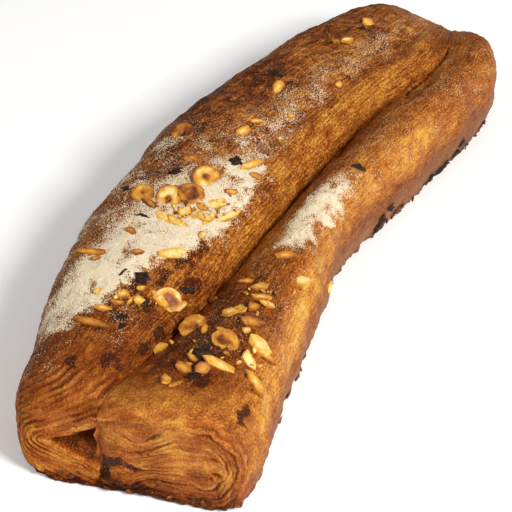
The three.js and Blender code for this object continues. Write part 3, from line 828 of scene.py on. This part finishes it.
def baked_crust():
    """Egg-washed laminated dough, baked: sandy gold to brown, with fibres, scorched spots and sugar dust, and
    painted shade in the slot, the crease, the gaps of the cut layers and on the lower sides.
    """
    material, add = new_material("baked_danish_crust")
    place = add("TexCoord")["Object"]
    run = add("UVMap", uv_map="run")["UV"]
    names = "bake_and_shade", "burnt", "sugar", "cut", "end", "layer", "gap", "side", "washed"
    bake_and_shade, burnt, sugar, cut, end, layer, gap, side, washed = (
        add("Attribute", attribute_name=name)["Fac"] for name in names)

    # Fibres and flecks run along the bar, crumbs roughen them, blotches mottle all, specks are fine sugar.
    stretched = add("Mapping", {"Vector": run, "Scale": (0.07, 1, 1)})["Vector"]
    drawn = add("Mapping", {"Vector": run, "Scale": (0.45, 1, 1)})["Vector"]
    grains = (
        (stretched, 1, 4, 0.6), (drawn, 0.7, 3, 0.65), (place, 0.8, 3, 0.65), (place, 5, 5, 0.62),
        (place, 0.65, 2, 0.6),
    )
    fibres, flecks, crumbs, mottle, specks = (
        add("TexNoise", {"Vector": at, "Scale": per_mm(size), "Detail": detail, "Roughness": rough})["Fac"]
        for at, size, detail, rough in grains)

    # Both ends and the cut dough are smoother.
    crumbs = add("Mix", {0: end, 2: flecks, 3: crumbs})[0]
    fibres = add("Mix", {0: end, 2: fibres, 3: PATTERN_MIDDLE})[0]
    smooth = add("Math", {0: cut, 1: 0.5}, operation="MULTIPLY")["Value"]
    blotches = add("Mix", {0: smooth, 2: mottle, 3: PATTERN_MIDDLE})[0]
    softer = add("Math", {0: end, 1: 0.35}, operation="MULTIPLY")["Value"]
    softer = add("Math", {0: smooth, 1: softer}, operation="MAXIMUM")["Value"]
    sandy = add("Mix", {0: softer, 2: crumbs, 3: PATTERN_MIDDLE})[0]

    # Streaks follow the cut end's layers.
    strata_at = add("Mapping", {"Vector": place, "Scale": [per_mm(12)] * 3})["Vector"]
    strata_turn = add("Math", {0: layer, 1: 1.4}, operation="MULTIPLY")["Value"]
    strata = add("TexNoise", {"Vector": strata_at, "W": strata_turn, "Scale": 1.0, "Detail": 2},
                 noise_dimensions="4D")["Fac"]
    strata = add("Math", {0: strata, 1: cut}, operation="MULTIPLY")["Value"]

    # How dark it is: the baking with its painted shade, each pattern by its weight less what they add on
    # average, and the scorching
    tone = bake_and_shade
    for pattern, weight in ((fibres, 1.2), (sandy, 1.7), (blotches, 0.75), (strata, 0.8), (cut, -0.4)):
        tone = add("Math", {0: pattern, 1: weight, 2: tone}, operation="MULTIPLY_ADD")["Value"]
    tone = add("Math", {0: tone, 1: PATTERN_SUM}, operation="SUBTRACT", use_clamp=True)["Value"]
    scorch = burnt
    for pattern, weight in ((crumbs, 0.4), (mottle, 0.7)):
        scorch = add("Math", {0: pattern, 1: weight, 2: scorch}, operation="MULTIPLY_ADD")["Value"]
    browned = add("MapRange", {0: scorch, 1: 0.7, 2: 1.1, 3: 0.0, 4: 0.5},
                  interpolation_type="SMOOTHSTEP")[0]
    tone = add("Math", {0: tone, 1: browned}, operation="ADD", use_clamp=True)["Value"]
    colour = add("ValToRGB", {"Fac": tone}, stops=CRUST_TONES)["Color"]
    colour = add("Mix", {0: cut, 6: colour, 7: linear(CUT_TINT)}, data_type="RGBA", blend_type="MULTIPLY")[2]

    # Painted shadow darkens the gaps between the cut layers. Painted shade dulls the lower sides, and
    # scorched spots are nearly black.
    # Where the painted shadow lies: along the gaps between the cut layers.
    ragged = add("Math", {0: crumbs, 1: 0.6, 2: layer}, operation="MULTIPLY_ADD")["Value"]
    line = add("Math", {0: ragged, 1: 0.3}, operation="SUBTRACT")["Value"]
    line = add("Math", {0: line, 1: 0.5}, operation="PINGPONG")["Value"]
    width = add("Math", {0: gap, 1: 0.28, 2: 0.1}, operation="MULTIPLY_ADD")["Value"]
    line = add("MapRange", {0: line, 1: 0.03, 2: width, 3: 1.0, 4: 0.0},
               interpolation_type="SMOOTHSTEP")[0]
    for factor in (gap, cut, 0.92):
        line = add("Math", {0: line, 1: factor}, operation="MULTIPLY")["Value"]
    # Painted shade: the lower sides are tinted a dull grey-brown.
    painted_side_shade = add("Math", {0: side, 1: 0.52}, operation="MULTIPLY")["Value"]
    black = add("MapRange", {0: scorch, 1: 0.95, 2: 1.5, 3: 0.0, 4: 0.85},
                interpolation_type="SMOOTHSTEP")[0]
    for share, tint in ((line, GAP_PAINTED_SHADOW), (painted_side_shade, SIDE_PAINTED_SHADE), (black, SCORCH_BLACK)):
        colour = add("Mix", {0: share, 6: colour, 7: linear(tint)}, data_type="RGBA")[2]

    # Fine sugar settles in flecks that close up where it lies thick. They are drawn coarse enough to show.
    dust = add("Math", {0: sugar, 1: 0.45, 2: specks}, operation="MULTIPLY_ADD")["Value"]
    dust = add("MapRange", {0: dust, 1: 0.66, 2: 0.73, 3: 0.0, 4: 0.95},
               interpolation_type="SMOOTHSTEP")[0]
    heaped = add("MapRange", {0: sugar, 1: 0.1, 2: 0.7, 3: 0.0, 4: 1.0})[0]
    powder = add("Mix", {0: heaped, 6: linear(DUST_THIN), 7: linear(DUST_THICK)}, data_type="RGBA")[2]
    colour = add("Mix", {0: dust, 6: colour, 7: powder}, data_type="RGBA")[2]

    # Sugar is duller than the washed crust, and everything has a fine bump.
    gloss = add("MapRange", {0: crumbs, 1: 0.3, 2: 0.7, 3: 0.42, 4: 0.68})[0]
    gloss = add("Math", {0: dust, 1: 0.25, 2: gloss}, operation="MULTIPLY_ADD")["Value"]
    height = fibres
    for pattern, weight in ((crumbs, 1.2), (line, -1.2), (strata, 1.2)):
        height = add("Math", {0: pattern, 1: weight, 2: height}, operation="MULTIPLY_ADD")["Value"]
    heap = add("Math", {0: specks, 1: 0.8, 2: 0.9}, operation="MULTIPLY_ADD")["Value"]
    height = add("Mix", {0: dust, 2: height, 3: heap})[0]
    bump = add("Bump", {"Height": height, "Distance": 0.5 * MM, "Strength": 0.9})["Normal"]
    shine = add("Math", {0: washed, 1: 0.23, 2: 0.05}, operation="MULTIPLY_ADD")["Value"]
    shader = add("BsdfPrincipled", {
        "Base Color": colour, "Roughness": gloss, "Normal": bump,
        "Specular IOR Level": shine, "Specular Tint": linear(WASH_GLINT)})["BSDF"]
    add("OutputMaterial", {"Surface": shader})
    return material


def toasted_nut():
    """Sliced hazelnut, toasted: waxy yellow flesh that browns at its rim, skin and hollow."""
    material, add = new_material("toasted_hazelnut")
    place = add("TexCoord")["Object"]
    toast = add("Attribute", attribute_name="toast")["Fac"]
    grain = add("TexNoise", {"Vector": place, "Scale": per_mm(1.8), "Detail": 4})["Fac"]
    tone = add("Math", {0: grain, 1: 0.6, 2: toast}, operation="MULTIPLY_ADD")["Value"]
    tone = add("Math", {0: tone, 1: 0.38}, operation="SUBTRACT", use_clamp=True)["Value"]
    colour = add("ValToRGB", {"Fac": tone}, stops=NUT_TONES)["Color"]
    bump = add("Bump", {"Height": grain, "Distance": 0.25 * MM, "Strength": 0.6})["Normal"]
    shader = add("BsdfPrincipled", {
        "Base Color": colour, "Roughness": 0.5, "Normal": bump, "Specular IOR Level": 0.2})["BSDF"]
    add("OutputMaterial", {"Surface": shader})
    return material


def scorched_crumb():
    """Sugar and nut burnt to charcoal: nearly black, rough, with a dull brown bloom."""
    material, add = new_material("scorched_crumb")
    place = add("TexCoord")["Object"]
    grain = add("TexNoise", {"Vector": place, "Scale": per_mm(1.1), "Detail": 4})["Fac"]
    colour = add("ValToRGB", {"Fac": grain}, stops=SCORCH_TONES)["Color"]
    bump = add("Bump", {"Height": grain, "Distance": 0.4 * MM, "Strength": 0.9})["Normal"]
    shader = add("BsdfPrincipled", {
        "Base Color": colour, "Roughness": 0.5, "Normal": bump, "Specular IOR Level": 0.2})["BSDF"]
    add("OutputMaterial", {"Surface": shader})
    return material


def sugar_crystal():
    """Coarse white sugar: cloudy warm-white grains with small glints."""
    material, add = new_material("white_sugar")
    place = add("TexCoord")["Object"]
    grain = add("TexNoise", {"Vector": place, "Scale": per_mm(1.4), "Detail": 2})["Fac"]
    colour = add("ValToRGB", {"Fac": grain}, stops=SUGAR_TONES)["Color"]
    shader = add("BsdfPrincipled", {"Base Color": colour, "Roughness": 0.35})["BSDF"]
    add("OutputMaterial", {"Surface": shader})
    return material


def shed_leaf():
    """Shed leaves of crust: thin, dry and unevenly browned."""
    material, add = new_material("shed_crust_leaf")
    place = add("TexCoord")["Object"]
    grain = add("TexNoise", {"Vector": place, "Scale": per_mm(4), "Detail": 5, "Roughness": 0.7})["Fac"]
    colour = add("ValToRGB", {"Fac": grain}, stops=FLAKE_TONES)["Color"]
    bump = add("Bump", {"Height": grain, "Distance": 0.3 * MM, "Strength": 0.7})["Normal"]
    shader = add("BsdfPrincipled", {
        "Base Color": colour, "Roughness": 0.62, "Normal": bump, "Specular IOR Level": 0.3})["BSDF"]
    add("OutputMaterial", {"Surface": shader})
    return material


# Toppings

def view_axes():
    """The photograph's eye, and its directions to the right, up and forward."""
    flat = math.cos(VIEW_ELEVATION)
    out = Vector((math.sin(VIEW_AZIMUTH) * flat, -math.cos(VIEW_AZIMUTH) * flat, math.sin(VIEW_ELEVATION)))
    right = Vector((math.cos(VIEW_AZIMUTH), math.sin(VIEW_AZIMUTH), 0))
    eye = (Vector(VIEW_TARGET) + out * VIEW_DISTANCE) * MM
    return eye, right, out.cross(right), -out


def seat(place, normal, turn, rng, lean=0.2):
    """A matrix that lays a topping on the crust, leaning to the eye and turned as the photograph shows it."""
    _, right, up, forward = view_axes()
    normal = (normal - forward * EYE_LEAN + Vector(rng.normal(0, lean, 3))).normalized()
    length = right * math.cos(turn) + up * math.sin(turn)
    length = (length - forward * length.dot(normal) / forward.dot(normal)).normalized()
    basis = Matrix((length, normal.cross(length), normal)).transposed()
    return Matrix.Translation(place) @ basis.to_4x4()


def add_shard(bm, toast_layer, matrix, length, width, toast, rng):
    """A flake of nut: thin, with an angular outline, a little curl and one browned edge."""
    thickness, curl, browned = rng.uniform(*SHARD_THICKNESS), rng.uniform(-1.2, 2), rng.choice((-1, 1))
    base = bmesh.ops.create_circle(bm, cap_ends=True, segments=SHARD_SIDES, radius=0.6)["verts"]
    for vert in base:
        vert.co *= rng.uniform(0.68, 1.15)
    flake = bmesh.ops.extrude_face_region(bm, geom=base[0].link_faces[:])["geom"]
    top = [v for v in flake if isinstance(v, bmesh.types.BMVert)]
    for vert in top:
        vert.co = vert.co.x * 0.92, vert.co.y * 0.86, 1
    upper = [face for face in top[0].link_faces if all(v in top for v in face.verts)]
    heart = bmesh.ops.poke(bm, faces=upper)["verts"]
    for vert in base + top + heart:
        x, y, z = vert.co
        rim = -0.1 if vert in heart else 0.2
        vert[toast_layer] = toast + rim + 0.4 * max(0, browned * y) + rng.uniform(-0.1, 0.1)
        vert.co = Vector((x * length, y * width, (z + 0.1 + curl * x * x) * thickness)) * MM
    bmesh.ops.transform(bm, matrix=matrix, verts=base + top + heart)


def nut_shards(crust):
    """Shards of nut where the photograph shows them, and chips scattered over its heaps."""
    rng = np.random.default_rng(SEEDS["shards"])
    bm = bmesh.new()
    toast_layer = bm.verts.layers.float.new("toast")
    for x, y, length, width, turn, toast in NUT_SHARDS:
        matrix = seat(*crust.seen_at(x, y), math.radians(turn), rng)
        add_shard(bm, toast_layer, matrix, length, width, toast, rng)
    for x, y, wide, high, count in CHIP_HEAPS:
        for dx, dy in rng.normal(0, 0.5, (count, 2)):
            place, normal = crust.seen_at(x + dx * wide, y + dy * high)
            matrix = seat(place, normal, rng.uniform(0, math.pi), rng, 0.4)
            length = rng.uniform(*CHIP_SIZE)
            width = length * rng.uniform(*CHIP_WIDTH)
            add_shard(bm, toast_layer, matrix, length, width, rng.uniform(*CHIP_TOAST), rng)
    bmesh.ops.recalc_face_normals(bm, faces=bm.faces)
    return bm


def add_slice(bm, toast_layer, matrix, diameter, rim, flesh, hollow, rng):
    """A round slice across a hazelnut: browned skin round its rim, flat flesh and a dark hollow."""
    side = (
        (0, -0.5, rim), (0.97, -0.5, rim), (1, 0.1, rim + 0.1), (0.93, 0.45, rim),
        (0.8, 0.5, (rim + flesh) / 2), (0.6, 0.44, flesh), (hollow + 0.1, 0.38, flesh + 0.1),
        (hollow, 0.3, 0.72), (0, 0.2, 0.88),
    )
    others = set(bm.verts)
    verts = [bm.verts.new((x, 0, z)) for x, z, _ in side]
    for vert, (_, _, toast) in zip(verts, side):
        vert[toast_layer] = toast
    edges = [bm.edges.new(pair) for pair in zip(verts, verts[1:])]
    bmesh.ops.spin(bm, geom=verts + edges, cent=(0, 0, 0), axis=(0, 0, 1), angle=math.tau, steps=SLICE_SIDES,
                   use_merge=True)
    bmesh.ops.remove_doubles(bm, verts=[v for v in bm.verts if v not in others], dist=1e-4)
    disc = [v for v in bm.verts if v not in others]
    oval, shift = rng.uniform(0.82, 0.98), Vector(rng.uniform(0, 50, 3))
    for vert in disc:
        x, y, z = vert.co
        uneven = noise.noise(vert.co * 1.8 + shift)
        vert[toast_layer] += 0.45 * uneven
        radius = diameter / 2 * (1 + 0.22 * uneven)
        vert.co = Vector((x * radius, y * radius * oval, z * SLICE_THICKNESS + SLICE_LIFT)) * MM
    bmesh.ops.transform(bm, matrix=matrix, verts=disc)


def nut_slices(crust):
    """Whole round slices of hazelnut."""
    rng = np.random.default_rng(SEEDS["slices"])
    bm = bmesh.new()
    toast_layer = bm.verts.layers.float.new("toast")
    for x, y, diameter, turn, *tones in NUT_SLICES:
        matrix = seat(*crust.seen_at(x, y), math.radians(turn), rng, 0.15)
        add_slice(bm, toast_layer, matrix, diameter, *tones, rng)
    bmesh.ops.recalc_face_normals(bm, faces=bm.faces)
    return bm


def add_lump(bm, matrix, length, width, height, rng, fineness=2):
    """A small uneven lump: a noisy ball drawn out to its size, kept above the ground."""
    lump = bmesh.ops.create_icosphere(bm, subdivisions=fineness, radius=0.5)["verts"]
    shift = Vector(rng.uniform(0, 50, 3))
    for vert in lump:
        vert.co *= 1 + 0.9 * noise.noise(vert.co * 3 + shift)
        vert.co = Vector((vert.co.x * length, vert.co.y * width, vert.co.z * height)) * MM
    bmesh.ops.transform(bm, matrix=matrix, verts=lump)
    for vert in lump:
        vert.co.z = max(vert.co.z, 0)


def scorched_bits(crust):
    """Scorched lumps of nut and sugar."""
    rng = np.random.default_rng(SEEDS["bits"])
    bm = bmesh.new()
    for x, y, length, width, turn in SCORCHED_BITS:
        matrix = seat(*crust.seen_at(x, y), math.radians(turn), rng)
        add_lump(bm, matrix, length, width, max(LEAST_BIT_HEIGHT, width / 2), rng)
    return bm


def foot_leaves(crust):
    """Leaves of crust that hang loose round the bar's foot, most of them along its sides."""
    rng = np.random.default_rng(SEEDS["leaves"])
    grid = crust.places
    low = (grid["up"] > LEAF_HEIGHTS[0]) & (grid["up"] < LEAF_HEIGHTS[1]) & ~grid["on_tip"]
    rows, columns = np.nonzero(low)
    weight = np.where(grid["on_cut"][low], LEAVES_ON_CUT, np.interp(grid["along"][low], *LEAF_PLACES))
    bm = bmesh.new()
    for pick in rng.choice(len(rows), LEAF_COUNT, p=weight / weight.sum()):
        cell = rows[pick], columns[pick]
        normal = Vector(crust.normals[cell])
        heading = grid["heading"][cell] + (math.pi / 2 if grid["on_cut"][cell] else 0)
        run = Vector((math.cos(heading), math.sin(heading), 0))
        run = (run - normal * run.dot(normal)).normalized()
        basis = Matrix((run, normal.cross(run), normal)).transposed().to_4x4()
        rolled = Matrix.Rotation(rng.uniform(-0.5, 0.5), 4, "X")
        lifted = Matrix.Rotation(rng.uniform(-0.6, 0.6), 4, "Y")
        matrix = Matrix.Translation(Vector(crust.points[cell]) * MM) @ basis @ (rolled @ lifted)
        length, width = rng.uniform(*LEAF_LENGTH), rng.uniform(*LEAF_WIDTH)
        add_lump(bm, matrix, length, width, LEAF_THICKNESS, rng, fineness=1)
    return bm


def sugar_grains(crust):
    """Single grains of sugar, as small tumbled cubes, thickest where the sugar lies heaped."""
    rng = np.random.default_rng(SEEDS["grains"])
    cube = bmesh.new()
    bmesh.ops.create_cube(cube, size=1)
    corners = np.array([v.co for v in cube.verts])
    faces = np.array([[v.index for v in f.verts] for f in cube.faces])
    cube.free()

    points = crust.points
    diagonals = points[1:, 1:] - points[:-1, :-1], points[1:, :-1] - points[:-1, 1:]
    area = np.linalg.norm(np.cross(*diagonals), axis=-1)
    weight = (area * np.maximum(0, crust.values["sugar"][:-1, :-1] - LEAST_HEAP)).ravel()
    row, column = np.unravel_index(rng.choice(weight.size, GRAIN_COUNT, p=weight / weight.sum()), area.shape)
    share, rise = rng.random((2, GRAIN_COUNT, 1))
    lower = points[row, column] * (1 - share) + points[row, column + 1] * share
    upper = points[row + 1, column] * (1 - share) + points[row + 1, column + 1] * share
    lift = crust.normals[row, column] * rng.uniform(0, GRAIN_LIFT, (GRAIN_COUNT, 1))
    place = lower * (1 - rise) + upper * rise + lift
    size = rng.uniform(*GRAIN_SIZE, (GRAIN_COUNT, 1, 1))
    turns = np.array([Euler(angles).to_matrix() for angles in rng.uniform(0, math.tau, (GRAIN_COUNT, 3))])
    verts = (place[:, None] + size * (corners @ turns)) * MM
    quads = faces + len(corners) * np.arange(GRAIN_COUNT)[:, None, None]
    mesh = bpy.data.meshes.new("sugar")
    mesh.from_pydata(verts.reshape(-1, 3), [], quads.reshape(-1, 4).tolist())
    bm = bmesh.new()
    bm.from_mesh(mesh)
    bpy.data.meshes.remove(mesh)
    return bm


def finish_piece(bm, name, material, crisp=180):
    """Makes a piece of the bar from a bmesh in metres. Edges sharper than crisp degrees stay sharp."""
    mesh = bpy.data.meshes.new(name)
    bm.to_mesh(mesh)
    bm.free()
    mesh.materials.append(material)
    mesh.shade_smooth()
    mesh.set_sharp_from_angle(angle=math.radians(crisp))
    piece = bpy.data.objects.new(name, mesh)
    bpy.context.scene.collection.objects.link(piece)
    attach(piece, "root")
    return piece


# The studio

def floor():
    """A floor of matt white paper, with a faint glow that keeps it white round the bar."""
    material, add = new_material("matt_white_paper")
    place = add("TexCoord")["Object"]
    tooth = add("TexNoise", {"Vector": place, "Scale": per_mm(2)})["Fac"]
    bump = add("Bump", {"Height": tooth, "Distance": 0.05 * MM, "Strength": 0.3})["Normal"]
    shader = add("BsdfPrincipled", {
        "Base Color": linear(PAPER_WHITE), "Roughness": 0.9, "Normal": bump,
        "Emission Color": linear("#ffffff"), "Emission Strength": 0.18})["BSDF"]
    add("OutputMaterial", {"Surface": shader})
    bm = bmesh.new()
    bmesh.ops.create_grid(bm, x_segments=2, y_segments=2, size=FLOOR_REACH)
    mesh = bpy.data.meshes.new("floor")
    bm.to_mesh(mesh)
    bm.free()
    mesh.materials.append(material)
    sheet = bpy.data.objects.new("floor", mesh)
    bpy.context.scene.collection.objects.link(sheet)


def lights():
    """A strong lamp from the camera's right, a broad weak one from its left, and a white sky."""
    _, right, _, forward = view_axes()
    level = Vector((forward.x, forward.y, 0)).normalized()
    for name, sideways, back, height, size, power in LAMPS:
        lamp = bpy.data.lights.new(name, "AREA")
        lamp.size = size
        lamp.energy = power
        light = bpy.data.objects.new(name, lamp)
        light.location = right * sideways - level * back + Vector((0, 0, height))
        light.rotation_euler = (-light.location).to_track_quat("-Z", "Y").to_euler()
        bpy.context.scene.collection.objects.link(light)
    world = bpy.data.worlds.new("studio")
    world.use_nodes = True
    world.node_tree.nodes["Background"].inputs["Color"].default_value = linear("#ffffff")
    world.node_tree.nodes["Background"].inputs["Strength"].default_value = SKY
    bpy.context.scene.world = world
    bpy.context.scene.view_settings.view_transform = "Standard"


def camera():
    """The photograph's camera."""
    eye, _, _, forward = view_axes()
    lens = bpy.data.cameras.new("photo_camera")
    lens.sensor_width = SENSOR
    lens.lens = SENSOR * VIEW_FOCAL / PHOTO_SIDE
    lens.clip_start = NEAREST_SEEN
    stand = bpy.data.objects.new("photo_camera", lens)
    stand.location = eye
    stand.rotation_euler = forward.to_track_quat("-Z", "Y").to_euler()
    bpy.context.scene.collection.objects.link(stand)
    bpy.context.scene.camera = stand


floor()
lights()
camera()
crust = Crust()
bar = finish_piece(crust.mesh(), "crust", baked_crust())
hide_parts("pastry_bar")
nut = toasted_nut()
finish_piece(nut_slices(crust), "nut_slices", nut, crisp=50)
finish_piece(nut_shards(crust), "nut_shards", nut, crisp=25)
finish_piece(scorched_bits(crust), "scorched_bits", scorched_crumb(), crisp=60)
finish_piece(sugar_grains(crust), "sugar_grains", sugar_crystal(), crisp=30)
finish_piece(foot_leaves(crust), "foot_leaves", shed_leaf(), crisp=50)
